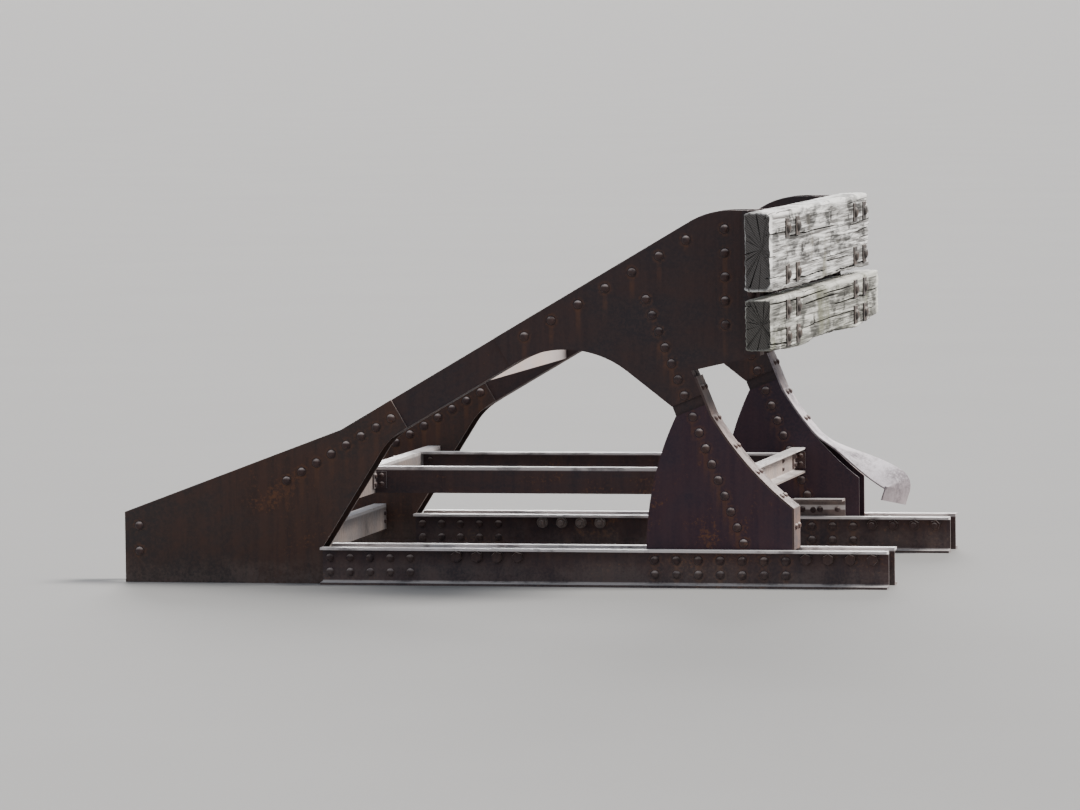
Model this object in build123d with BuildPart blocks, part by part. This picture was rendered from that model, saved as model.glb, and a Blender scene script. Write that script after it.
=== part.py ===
from build123d import *
from math import cos, radians, sin, tan
import os

os.makedirs("parts", exist_ok=True)

# Fixed buffer stop of riveted steel: two side frames, each of two plate leaves that
# straddle one rail, tied by crossbars and carrying a buffer beam of two timbers.
# Lengths in millimetres. "Along" runs from the tail to the front, "up" from the floor.

# Whole object
overall_length = 2925.0
rail_spacing = 1500.0
head_front = 2463.0
head_top = 1398.0

# Leaves: two parallel plates with the rail between them
leaf_gap = 110.0
plate_thickness = 10.0

# Sill channels, outside the leaves with their flanges outward
sill_start = 772.0
sill_depth = 140.0
sill_flange = 50.0
sill_web = 7.0
sill_flange_thickness = 10.0

# Strut channels, inside the leaves with their flanges inward
strut_slope = 30.1
strut_kink_along = 847.0
strut_kink_up = 580.0
strut_depth = 120.0
strut_flange = 50.0
strut_web = 7.0
strut_flange_thickness = 9.0
strut_tail_overlap = 300.0
strut_length_past_kink = 1546.0

# Leg channels, inside the leaves too
leg_lean = 21.7
leg_waist_along = 2179.0
leg_waist_up = 670.0
leg_depth = 120.0
leg_flange = 50.0
leg_web = 7.0
leg_flange_thickness = 9.0
leg_rise = 450.0
leg_drop = 595.0

# Rear gusset
tail_height = 266.0
gusset_front_slope = 57.5
gusset_fillet = 250.0
gusset_lap_on_strut = 225.0
gusset_tongue_length = 358.0
tongue_clearance = 11.0

# Head plate
head_lap_from_kink = 685.0
head_throat_slope = 38.0
head_throat_radius = 385.0
head_shoulder_radius = 300.0
shoulder_share = 0.8
head_least_flat = 60.0
head_chin_up = 865.0
head_end_above_waist = 25.0
head_chin_above_waist = 121.0

# Foot plate
foot_top_below_waist = 15.0
foot_rear = 2013.0
foot_toe = 2563.0
foot_toe_up = 290.0
foot_sweep_below_waist = 60.0
foot_front_mid = (2400.0, 443.0)
foot_rear_mid = (2050.0, 420.0)

# Front cover strips
cover_thickness = 8.0
cover_top_above_waist = 95.0
cover_lift_share = 0.42
cover_lift_radius = 260.0
cover_lift_turn = 20.0
cover_free_length = 290.0
cover_hook_radius = 26.0
cover_hook_turn = 78.0
cover_hook_length = 55.0

# Head angles that carry the timbers
angle_leg = 75.0
angle_thickness = 10.0
angle_root_radius = 9.0
root_per_thickness = 1.2

# Buffer beam
timber_thickness = 100.0
beam_length = 2400.0
upper_timber_bottom = 1107.0
upper_timber_top = 1404.0
upper_timber_loss = 160.0
lower_timber_bottom = 880.0
lower_timber_top = 1087.0
timber_edge_round = 8.0

# The upper timber's broken end, as shares of its height and of the break's depth, and the
# lower timber's rotted edge, as shares of its half length and of the rot's depth
break_depth = 70.0
break_shares = ((1.0, 1.0), (0.75, 0.5), (0.55, 0.0), (0.4, 0.7), (0.0, 0.3))
rot_depth = 30.0
rot_shares = ((1.0, 1.0), (0.55, 0.0), (0.1, 0.45), (-0.5, 0.0), (-1.0, 0.6))

# Crossbars and ties, all of one channel size
tie_depth = 100.0
tie_flange = 50.0
tie_web = 6.0
tie_flange_thickness = 8.5
tie_frame_up = 310.0
rear_crossbar_face = 875.0
front_crossbar_face = 2300.0
tie_offset = 400.0
rear_sleeper_face = 650.0
rear_sleeper_up = 77.0

# Strut crossbar, an angle between the two struts
strut_bar_leg = 50.0
strut_bar_thickness = 6.0
strut_bar_from_kink = 585.0
strut_bar_below_edge = 75.0

# Cleats, the short angles that join crossbars and ties end to face
cleat_leg = 45.0
cleat_thickness = 6.0
strut_cleat_leg = 38.0
strut_cleat_thickness = 5.0

# Packings between the sill webs, with their bolt holes
packing_height = 44.0
packing_bottom = 85.0
bolt_hole_radius = 12.0
bolt_count = 4
mid_bolts_centre = 1407.0
mid_bolts_pitch = 78.0
front_bolts_from_end = 183.5
front_bolts_pitch = 83.0
packing_end_margin = 38.0

# Diaphragms between the leaves
diaphragm_thickness = 10.0
diaphragm_flange = 60.0
tail_diaphragm_along = 20.0
tail_diaphragm_bottom = 90.0
tail_diaphragm_height = 150.0
head_diaphragm_along = 2290.0
head_diaphragm_bottom = 930.0
head_diaphragm_height = 430.0

# Seat angles on the foot plates, standing on the inner sills
seat_leg = 70.0
seat_thickness = 8.0
seat_start = 2308.0
seat_length = 200.0

root_radius = 8.0
flange_taper = 2.5
tolerance = 0.01

# Derived sizes
tail_x = -overall_length / 2
frame_offset = rail_spacing / 2
leaf_inside = leaf_gap / 2
leaf_outside = leaf_inside + plate_thickness
span_between_plates = 2 * (frame_offset - leaf_outside)
span_between_struts = 2 * (frame_offset - leaf_inside)
front_bolts_centre = overall_length - front_bolts_from_end
seat_top = sill_depth + seat_leg
cleat_length = tie_depth - 2 * (tie_flange_thickness + flange_taper / 2 + root_radius)
strut_bar_root = root_per_thickness * strut_bar_thickness
strut_cleat_length = strut_bar_leg - strut_bar_thickness - strut_bar_root

sides = {"left": -1, "right": 1}
leaves = {"outer": 1, "inner": -1}


def place(along, up):
    """A point of the side view: along from the tail, up from the floor."""
    return (tail_x + along, up)


def strut_point(run, rise):
    """A point measured from the kink: run up the strut's top edge, rise square to it."""
    slope = radians(strut_slope)
    along = strut_kink_along + run * cos(slope) - rise * sin(slope)
    up = strut_kink_up + run * sin(slope) + rise * cos(slope)
    return place(along, up)


def leg_point(drop, forward):
    """A point measured from the waist: drop down the leg's axis, forward square to it."""
    lean = radians(leg_lean)
    along = leg_waist_along + drop * sin(lean) + forward * cos(lean)
    up = leg_waist_up - drop * cos(lean) + forward * sin(lean)
    return place(along, up)


def crossing(first, first_slope, second, second_slope):
    """Where two lines cross, each given by a point and its slope in degrees."""
    first_rate, second_rate = tan(radians(first_slope)), tan(radians(second_slope))
    x = (second[1] - first[1] + first_rate * first[0] - second_rate * second[0])
    x = x / (first_rate - second_rate)
    return (x, first[1] + first_rate * (x - first[0]))


def slab_plane(low_y, thickness):
    """The side-view plane at the high-Y face of a slab, so that extruding fills it."""
    return Plane.XZ.offset(-(low_y + thickness))


def leaf_low_y(side, leaf):
    """The low-Y face of the plate that forms one leaf of a side frame."""
    outward = side * leaf
    centre = side * frame_offset + outward * (leaf_inside + plate_thickness / 2)
    return centre - plate_thickness / 2


def write(piece, name):
    piece.part.label = name
    export_step(piece.part, f"parts/{name}.step")


def channel(plane, length, depth, flange, web, flange_thickness, bolts=()):
    """A rolled channel: web's back on the plane's Y axis, tapered flanges along its X.

    Bolt holes, given as points of the side view, go through its web.
    """
    half = depth / 2
    toe = flange_thickness - flange_taper / 2
    root = flange_thickness + flange_taper / 2
    with BuildPart() as bar:
        with BuildSketch(plane) as section:
            with BuildLine():
                Polyline(
                    (0, -half), (flange, -half), (flange, toe - half), (web, root - half),
                    (web, half - root), (flange, half - toe), (flange, half), (0, half),
                    close=True,
                )
            make_face()
            roots = section.vertices().filter_by_position(Axis.X, web - tolerance, web + tolerance)
            fillet(roots, radius=root_radius)
        extrude(amount=length)
        if bolts:
            with BuildSketch(slab_plane(plane.origin.Y - flange, 2 * flange)):
                with Locations(*bolts):
                    Circle(bolt_hole_radius)
            extrude(amount=2 * flange, mode=Mode.SUBTRACT)
    return bar


def angle_bar(middle, first, second, length, leg, thickness):
    """A rolled angle: its heel runs through the middle point, its legs point first and second."""
    run = Vector(*first).cross(Vector(*second))
    with BuildPart() as bar:
        with BuildSketch(Plane(origin=middle, x_dir=first, z_dir=run)) as section:
            with BuildLine():
                Polyline(
                    (0, 0), (leg, 0), (leg, thickness), (thickness, thickness),
                    (thickness, leg), (0, leg), close=True,
                )
            make_face()
            inner = section.vertices().filter_by_position(
                Axis.X, thickness - tolerance, thickness + tolerance
            )
            root = min(angle_root_radius, root_per_thickness * thickness)
            fillet(inner.sort_by(Axis.Y)[0], radius=root)
        extrude(amount=length / 2, both=True)
    return bar


def bolt_spots(centre, pitch):
    """Places along the sill of one row of bolts."""
    first = centre - pitch * (bolt_count - 1) / 2
    return [place(first + pitch * n, packing_bottom + packing_height / 2) for n in range(bolt_count)]


def sill(side, leaf):
    outward = side * leaf
    back = side * frame_offset + outward * leaf_outside
    start = Plane(
        origin=(tail_x + sill_start, back, sill_depth / 2),
        x_dir=(0, outward, 0),
        z_dir=(1, 0, 0),
    )
    length = overall_length - sill_start
    bolts = bolt_spots(mid_bolts_centre, mid_bolts_pitch)
    bolts += bolt_spots(front_bolts_centre, front_bolts_pitch)
    return channel(start, length, sill_depth, sill_flange, sill_web, sill_flange_thickness, bolts)


def strut(side, leaf):
    outward = side * leaf
    back = side * frame_offset + outward * leaf_inside
    x, z = strut_point(-strut_tail_overlap, -strut_depth / 2)
    slope = radians(strut_slope)
    start = Plane(origin=(x, back, z), x_dir=(0, -outward, 0), z_dir=(cos(slope), 0, sin(slope)))
    length = strut_tail_overlap + strut_length_past_kink
    return channel(start, length, strut_depth, strut_flange, strut_web, strut_flange_thickness)


def leg(side, leaf):
    outward = side * leaf
    back = side * frame_offset + outward * leaf_inside
    x, z = leg_point(-leg_rise, 0)
    lean = radians(leg_lean)
    start = Plane(origin=(x, back, z), x_dir=(0, -outward, 0), z_dir=(sin(lean), 0, -cos(lean)))
    return channel(start, leg_rise + leg_drop, leg_depth, leg_flange, leg_web, leg_flange_thickness)


def rear_gusset(side, leaf):
    tongue_top = sill_depth - tongue_clearance
    edge_foot = place(sill_start, sill_depth)
    throat = crossing(edge_foot, gusset_front_slope, strut_point(0, -strut_depth), strut_slope)
    tongue_heel = crossing(edge_foot, gusset_front_slope, place(0, tongue_top), 0)
    tongue_end = sill_start + gusset_tongue_length
    with BuildPart() as plate:
        with BuildSketch(slab_plane(leaf_low_y(side, leaf), plate_thickness)) as outline:
            with BuildLine():
                Polyline(
                    place(0, 0), place(0, tail_height), strut_point(0, 0),
                    strut_point(gusset_lap_on_strut, 0),
                    strut_point(gusset_lap_on_strut, -strut_depth),
                    throat, tongue_heel, place(tongue_end, tongue_top), place(tongue_end, 0),
                    close=True,
                )
            make_face()
            corner = outline.vertices().sort_by_distance((throat[0], throat[1], 0))[0]
            fillet(corner, radius=gusset_fillet)
        extrude(amount=plate_thickness)
    return plate


def head_plate(side, leaf):
    shoulder = min(
        crossing(strut_point(0, 0), strut_slope, place(0, head_top), 0),
        place(head_front - head_least_flat, head_top),
    )
    leg_rear = leg_point(-head_end_above_waist, -leg_depth / 2)
    throat = crossing(strut_point(0, -strut_depth), strut_slope, leg_rear, -head_throat_slope)
    shoulder_room = (tail_x + head_front - shoulder[0]) / tan(radians(strut_slope / 2))
    with BuildPart() as plate:
        with BuildSketch(slab_plane(leaf_low_y(side, leaf), plate_thickness)) as outline:
            with BuildLine():
                Polyline(
                    strut_point(head_lap_from_kink, 0), shoulder,
                    place(head_front, head_top), place(head_front, head_chin_up),
                    leg_point(-head_chin_above_waist, leg_depth / 2),
                    leg_point(-head_end_above_waist, leg_depth / 2),
                    leg_rear, throat,
                    strut_point(head_lap_from_kink, -strut_depth),
                    close=True,
                )
            make_face()
            corners = outline.vertices()
            fillet(
                corners.sort_by_distance((shoulder[0], shoulder[1], 0))[0],
                radius=min(head_shoulder_radius, shoulder_share * shoulder_room),
            )
            corners = outline.vertices()
            fillet(corners.sort_by_distance((throat[0], throat[1], 0))[0], radius=head_throat_radius)
        extrude(amount=plate_thickness)
    return plate


def foot_plate(side, leaf):
    sweep_start = leg_point(foot_sweep_below_waist, leg_depth / 2)
    rear_top = leg_point(foot_top_below_waist, -leg_depth / 2)
    with BuildPart() as plate:
        with BuildSketch(slab_plane(leaf_low_y(side, leaf), plate_thickness)):
            with BuildLine():
                Polyline(rear_top, leg_point(foot_top_below_waist, leg_depth / 2), sweep_start)
                ThreePointArc(sweep_start, place(*foot_front_mid), place(foot_toe, foot_toe_up))
                Polyline(
                    place(foot_toe, foot_toe_up), place(foot_toe, 0), place(foot_rear, 0),
                    place(foot_rear, sill_depth),
                )
                ThreePointArc(place(foot_rear, sill_depth), place(*foot_rear_mid), rear_top)
            make_face()
        extrude(amount=plate_thickness)
    return plate


def cover_strip(side, sprung):
    """The flat bar on the leg's front edge; the sprung one has come away at the toe."""
    width = 2 * leaf_outside
    top = leg_point(-cover_top_above_waist, leg_depth / 2)
    sweep_start = leg_point(foot_sweep_below_waist, leg_depth / 2)
    toe = place(foot_toe, foot_toe_up)
    with BuildPart() as strip:
        with BuildSketch(slab_plane(side * frame_offset - width / 2, width)):
            with BuildLine() as path:
                Line(top, sweep_start)
                sweep = ThreePointArc(sweep_start, place(*foot_front_mid), toe, mode=Mode.PRIVATE)
                if sprung:
                    lift = sweep @ cover_lift_share
                    ThreePointArc(sweep_start, sweep @ (cover_lift_share / 2), lift)
                    bend = JernArc(lift, sweep % cover_lift_share, cover_lift_radius, cover_lift_turn)
                    free_end = bend @ 1 + (bend % 1) * cover_free_length
                    Line(bend @ 1, free_end)
                    hook = JernArc(free_end, bend % 1, cover_hook_radius, -cover_hook_turn)
                    Line(hook @ 1, hook @ 1 + (hook % 1) * cover_hook_length)
                else:
                    ThreePointArc(sweep_start, place(*foot_front_mid), toe)
                    Line(toe, place(foot_toe, sill_depth))
                offset(amount=cover_thickness, side=Side.LEFT)
            make_face()
        extrude(amount=width)
    return strip


def head_angle(side, leaf):
    outward = side * leaf
    heel = (
        tail_x + head_front,
        side * frame_offset + outward * leaf_outside,
        (head_top + head_chin_up) / 2,
    )
    height = head_top - head_chin_up
    return angle_bar(heel, (-1, 0, 0), (0, outward, 0), height, angle_leg, angle_thickness)


def packings(side):
    """Two bars between the sill webs, over the rail, each drilled for one row of bolts."""
    width = 2 * leaf_outside
    with BuildPart() as bars:
        for centre, pitch in ((mid_bolts_centre, mid_bolts_pitch), (front_bolts_centre, front_bolts_pitch)):
            length = pitch * (bolt_count - 1) + 2 * packing_end_margin
            with BuildSketch(slab_plane(side * frame_offset - width / 2, width)):
                with Locations(place(centre, packing_bottom + packing_height / 2)):
                    Rectangle(length, packing_height)
                with Locations(*bolt_spots(centre, pitch)):
                    Circle(bolt_hole_radius, mode=Mode.SUBTRACT)
            extrude(amount=width)
    return bars


def diaphragms(side):
    """Folded plates between the leaves: one at the tail, one in the head."""
    half = leaf_inside
    with BuildPart() as folded:
        for along, bottom, height in (
            (tail_diaphragm_along, tail_diaphragm_bottom, tail_diaphragm_height),
            (head_diaphragm_along, head_diaphragm_bottom, head_diaphragm_height),
        ):
            centre = (tail_x + along + diaphragm_flange / 2, side * frame_offset)
            pocket = leaf_gap - 2 * diaphragm_thickness
            with BuildSketch(Plane.XY.offset(bottom)):
                with Locations(centre):
                    Rectangle(diaphragm_flange, 2 * half)
                with Locations((centre[0] + diaphragm_thickness, centre[1])):
                    Rectangle(diaphragm_flange, pocket, mode=Mode.SUBTRACT)
            extrude(amount=height)
    return folded


def foot_seat(side):
    """The ledge angle on the foot plate's face that looks at the track's centre."""
    heel = (tail_x + seat_start + seat_length / 2, side * (frame_offset - leaf_outside), seat_top)
    return angle_bar(heel, (0, -side, 0), (0, 0, -1), seat_length, seat_leg, seat_thickness)


def crossbar(face, up, span, flanges_forward):
    """A channel from frame to frame, with the back of its web at the given place."""
    direction = 1 if flanges_forward else -1
    start = Plane(
        origin=(tail_x + face, -span / 2, up + tie_depth / 2),
        x_dir=(direction, 0, 0),
        z_dir=(0, 1, 0),
    )
    return channel(start, span, tie_depth, tie_flange, tie_web, tie_flange_thickness)


def tie(side):
    start = Plane(
        origin=(tail_x + rear_crossbar_face, side * tie_offset, tie_frame_up + tie_depth / 2),
        x_dir=(0, -side, 0),
        z_dir=(1, 0, 0),
    )
    length = front_crossbar_face - rear_crossbar_face
    return channel(start, length, tie_depth, tie_flange, tie_web, tie_flange_thickness)


def strut_crossbar():
    x, z = strut_point(strut_bar_from_kink, -strut_bar_below_edge)
    return angle_bar(
        (x, 0, z), (-1, 0, 0), (0, 0, -1), span_between_struts, strut_bar_leg, strut_bar_thickness
    )


def cleats(side):
    """Short angles in the corners where crossbars meet a side frame and ties meet crossbars."""
    to_middle = (0, -side, 0)
    bar_middle = tie_frame_up + tie_depth / 2
    plate_face = side * span_between_plates / 2
    strut_x, strut_z = strut_point(strut_bar_from_kink, -strut_bar_below_edge)
    corners = [
        (rear_crossbar_face - tie_web, plate_face, bar_middle, -1, to_middle),
        (front_crossbar_face + tie_web, plate_face, bar_middle, 1, to_middle),
        (rear_sleeper_face - tie_web, plate_face, rear_sleeper_up + tie_depth / 2, -1, to_middle),
        (rear_crossbar_face, side * tie_offset, bar_middle, 1, (0, side, 0)),
        (front_crossbar_face, side * tie_offset, bar_middle, -1, (0, side, 0)),
    ]
    with BuildPart() as pieces:
        for along, y, up, forward, across in corners:
            heel = (tail_x + along, y, up)
            add(angle_bar(heel, (forward, 0, 0), across, cleat_length, cleat_leg, cleat_thickness).part)
        heel = (
            strut_x - strut_bar_thickness,
            side * span_between_struts / 2,
            strut_z - strut_bar_leg + strut_cleat_length / 2,
        )
        add(angle_bar(
            heel, (-1, 0, 0), to_middle, strut_cleat_length, strut_cleat_leg, strut_cleat_thickness
        ).part)
    return pieces


def upper_timber():
    """The upper beam plank, its right-hand end broken off short and ragged."""
    left_end = -beam_length / 2
    right_end = beam_length / 2 - upper_timber_loss
    height = upper_timber_top - upper_timber_bottom
    broken = [
        (right_end - loss * break_depth, upper_timber_bottom + share * height)
        for share, loss in break_shares
    ]
    with BuildPart() as plank:
        with BuildSketch(Plane.YZ.offset(tail_x + head_front)):
            with BuildLine():
                Polyline(
                    (left_end, upper_timber_bottom), (left_end, upper_timber_top), *broken, close=True
                )
            make_face()
        extrude(amount=timber_thickness)
        fillet(plank.edges().filter_by(Axis.Y), radius=timber_edge_round)
    return plank


def lower_timber():
    """The lower beam plank, full length, with its lower edge rotted away in places."""
    half = beam_length / 2
    rotted = [
        (share * half, lower_timber_bottom + loss * rot_depth) for share, loss in rot_shares
    ]
    with BuildPart() as plank:
        with BuildSketch(Plane.YZ.offset(tail_x + head_front)):
            with BuildLine():
                Polyline(rotted[-1], (-half, lower_timber_top), (half, lower_timber_top), rotted[0])
                Spline(*rotted)
            make_face()
        extrude(amount=timber_thickness)
        top_edges = plank.edges().filter_by(Axis.Y).group_by(Axis.Z)[-1]
        fillet(top_edges, radius=timber_edge_round)
    return plank


for side_name, side in sides.items():
    for leaf_name, leaf in leaves.items():
        write(sill(side, leaf), f"{side_name}_sill_{leaf_name}")
        write(strut(side, leaf), f"{side_name}_strut_{leaf_name}")
        write(leg(side, leaf), f"{side_name}_leg_{leaf_name}")
        write(rear_gusset(side, leaf), f"{side_name}_rear_gusset_{leaf_name}")
        write(head_plate(side, leaf), f"{side_name}_head_plate_{leaf_name}")
        write(foot_plate(side, leaf), f"{side_name}_foot_plate_{leaf_name}")
        write(head_angle(side, leaf), f"{side_name}_head_angle_{leaf_name}")
    write(cover_strip(side, sprung=side_name == "right"), f"{side_name}_leg_cover")
    write(packings(side), f"{side_name}_sill_packings")
    write(diaphragms(side), f"{side_name}_diaphragms")
    write(foot_seat(side), f"{side_name}_foot_seat")
    write(tie(side), f"{side_name}_tie")
    write(cleats(side), f"{side_name}_cleats")

write(crossbar(rear_crossbar_face, tie_frame_up, span_between_plates, False), "rear_crossbar")
write(crossbar(front_crossbar_face, tie_frame_up, span_between_plates, True), "front_crossbar")
write(crossbar(rear_sleeper_face, rear_sleeper_up, span_between_plates, False), "rear_sill_crossbar")
write(strut_crossbar(), "strut_crossbar")
write(upper_timber(), "upper_timber")
write(lower_timber(), "lower_timber")
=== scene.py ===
import math

import bpy
import numpy as np
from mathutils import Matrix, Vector


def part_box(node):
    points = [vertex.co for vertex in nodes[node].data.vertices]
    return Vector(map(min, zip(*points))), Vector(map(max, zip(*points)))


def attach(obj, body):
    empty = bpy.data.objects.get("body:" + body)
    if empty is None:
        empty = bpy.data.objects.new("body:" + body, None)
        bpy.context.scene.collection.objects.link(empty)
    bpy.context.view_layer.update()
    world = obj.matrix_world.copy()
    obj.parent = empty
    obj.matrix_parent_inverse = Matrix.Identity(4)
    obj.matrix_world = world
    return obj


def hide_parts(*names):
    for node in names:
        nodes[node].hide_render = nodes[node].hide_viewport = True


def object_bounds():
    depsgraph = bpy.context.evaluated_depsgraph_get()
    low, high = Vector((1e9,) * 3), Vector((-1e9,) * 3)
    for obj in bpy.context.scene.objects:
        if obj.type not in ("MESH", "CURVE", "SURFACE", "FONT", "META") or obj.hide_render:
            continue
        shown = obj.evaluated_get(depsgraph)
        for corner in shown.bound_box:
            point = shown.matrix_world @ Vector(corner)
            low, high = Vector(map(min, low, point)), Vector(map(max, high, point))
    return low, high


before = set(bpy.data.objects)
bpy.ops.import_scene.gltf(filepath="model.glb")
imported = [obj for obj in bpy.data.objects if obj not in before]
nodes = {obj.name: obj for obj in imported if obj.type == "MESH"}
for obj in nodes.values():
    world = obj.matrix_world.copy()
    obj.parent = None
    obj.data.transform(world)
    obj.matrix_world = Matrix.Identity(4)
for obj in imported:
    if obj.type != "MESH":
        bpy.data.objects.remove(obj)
cadLow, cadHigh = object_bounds()
print("frame loaded:", len(nodes), "nodes")

# Where the steelwork stands, in metres: x along the track, z up from the floor.
tailX = cadLow.x
frameY = 0.75  # middle of a side frame
depths = {  # from that middle to the faces that carry heads and nuts
    "plateOut": 0.065, "plateIn": 0.055, "channelIn": 0.048, "foldIn": 0.045,
    "sillOut": 0.072, "angleOut": 0.075,
}
sides = {"left": -1, "right": 1}
leaves = {"outer": 1, "inner": -1}
lines = {  # start and slope of the side-view lines that rows of rivets follow
    "floor": ((tailX, 0.0), 0.0),
    "strut": ((tailX + 0.847, 0.580), math.radians(30.1)),
    "leg": ((tailX + 2.179, 0.670), math.radians(21.7 - 90)),
}


def onLine(name, along, across):
    # start + along (cos a, sin a) + across (-sin a, cos a), as rows of x and z
    (x, z), a = lines[name]
    along, across = np.broadcast_arrays(np.asarray(along, float), np.asarray(across, float))
    return np.stack([x + along * math.cos(a) - across * math.sin(a),
                     z + along * math.sin(a) + across * math.cos(a)], axis=-1)


def putMesh(name, points, quads, fans, material, sharp=35):
    # Vertices and faces into one mesh; it is turned right side out by the sign of its volume,
    # the sum of p0 . (p1 x p2) / 6 over the triangles of every face
    volume = sum(np.einsum("ij,ikj->", corner[:, 0], np.cross(corner[:, 1:-1], corner[:, 2:]))
                 for corner in (points[quads], points[fans]))
    turn = -1 if volume < 0 else 1
    mesh = bpy.data.meshes.new(name)
    mesh.from_pydata(points.tolist(), [], quads[:, ::turn].tolist() + fans[:, ::turn].tolist())
    mesh.shade_smooth()
    mesh.set_sharp_from_angle(angle=math.radians(sharp))
    mesh.materials.append(material)
    piece = bpy.data.objects.new(name, mesh)
    bpy.context.scene.collection.objects.link(piece)
    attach(piece, "root")
    return piece


def tubeQuads(rows, columns):
    # The faces of a grid whose columns go round and meet: column c joins (c + 1) mod columns
    row, col = np.meshgrid(np.arange(rows - 1), np.arange(columns), indexing="ij")
    here, there = row * columns + col, row * columns + (col + 1) % columns
    return np.stack([here, there, there + columns, here + columns], -1).reshape(-1, 4)


def tubeEnds(rows, columns):
    # One flat face over its first row and one over its last
    return np.stack([np.arange(columns)[::-1], np.arange(columns) + columns * (rows - 1)])


def turned(profile, around):
    # A profile of (radius, height) turned about an axis: (r cos t, r sin t, h) on a grid
    # whose columns are the turn t, closed with a flat face at each end
    r, h = np.array(profile, float).T
    t = np.arange(around) * 2 * math.pi / around
    heights = np.repeat(h, around).reshape(-1, around)
    points = np.stack([np.outer(r, np.cos(t)), np.outer(r, np.sin(t)), heights], -1)
    return points.reshape(-1, 3), tubeQuads(len(r), around), tubeEnds(len(r), around)


def repeated(name, shape, spots, axes, seed, material, vary=0.04, sharp=35, roll=None):
    # One small shape set at every spot: p = spot + size * turn(roll) * local, its height along
    # the spot's axis. Size differs a little from spot to spot, and so does the roll about the
    # axis, which is anything where none is given.
    points, quads, caps = shape
    rng = np.random.default_rng(seed)
    spots, axes = np.asarray(spots, float), np.asarray(axes, float)
    count = len(spots)
    side = np.cross(axes, np.where(np.abs(axes[:, 2:]) < 0.9, [[0.0, 0.0, 1.0]], [[1.0, 0.0, 0.0]]))
    side /= np.linalg.norm(side, axis=1, keepdims=True)
    other = np.cross(axes, side)
    roll = rng.uniform(0, 2 * math.pi, count) if roll is None else roll + rng.uniform(-0.05, 0.05, count)
    roll = roll[:, None]
    first = np.cos(roll) * side + np.sin(roll) * other
    second = -np.sin(roll) * side + np.cos(roll) * other
    size = 1 + vary * rng.uniform(-1, 1, (count, 1, 3))
    local = points[None] * size
    placed = (spots[:, None] + local[..., :1] * first[:, None]
              + local[..., 1:2] * second[:, None] + local[..., 2:] * axes[:, None])
    shift = np.arange(count)[:, None, None] * len(points)
    putMesh(name, placed.reshape(-1, 3), (quads[None] + shift).reshape(-1, 4),
            (caps[None] + shift).reshape(-1, caps.shape[1]), material, sharp)


def valueNoise(u, v, cells, seed, wrap=True):
    # Smooth noise from -1 to 1: random numbers on a lattice of cells, joined with the
    # curve 3t^2 - 2t^3; wrapped, the second direction runs round and meets itself
    rng = np.random.default_rng(seed)
    grid = rng.uniform(-1, 1, (cells[0] + 2, cells[1] + (0 if wrap else 2)))
    a, b = np.broadcast_arrays(np.asarray(u) * cells[0], np.asarray(v) * cells[1])
    i, j = np.floor(a).astype(int), np.floor(b).astype(int)
    s, t = a - i, b - j
    s, t = s * s * (3 - 2 * s), t * t * (3 - 2 * t)
    i = np.clip(i, 0, cells[0])
    if wrap:
        j, k = j % cells[1], (j + 1) % cells[1]
    else:
        j, k = np.clip(j, 0, cells[1]), np.clip(j + 1, 0, cells[1] + 1)
    return ((grid[i, j] * (1 - s) + grid[i + 1, j] * s) * (1 - t)
            + (grid[i, k] * (1 - s) + grid[i + 1, k] * s) * t)


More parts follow.
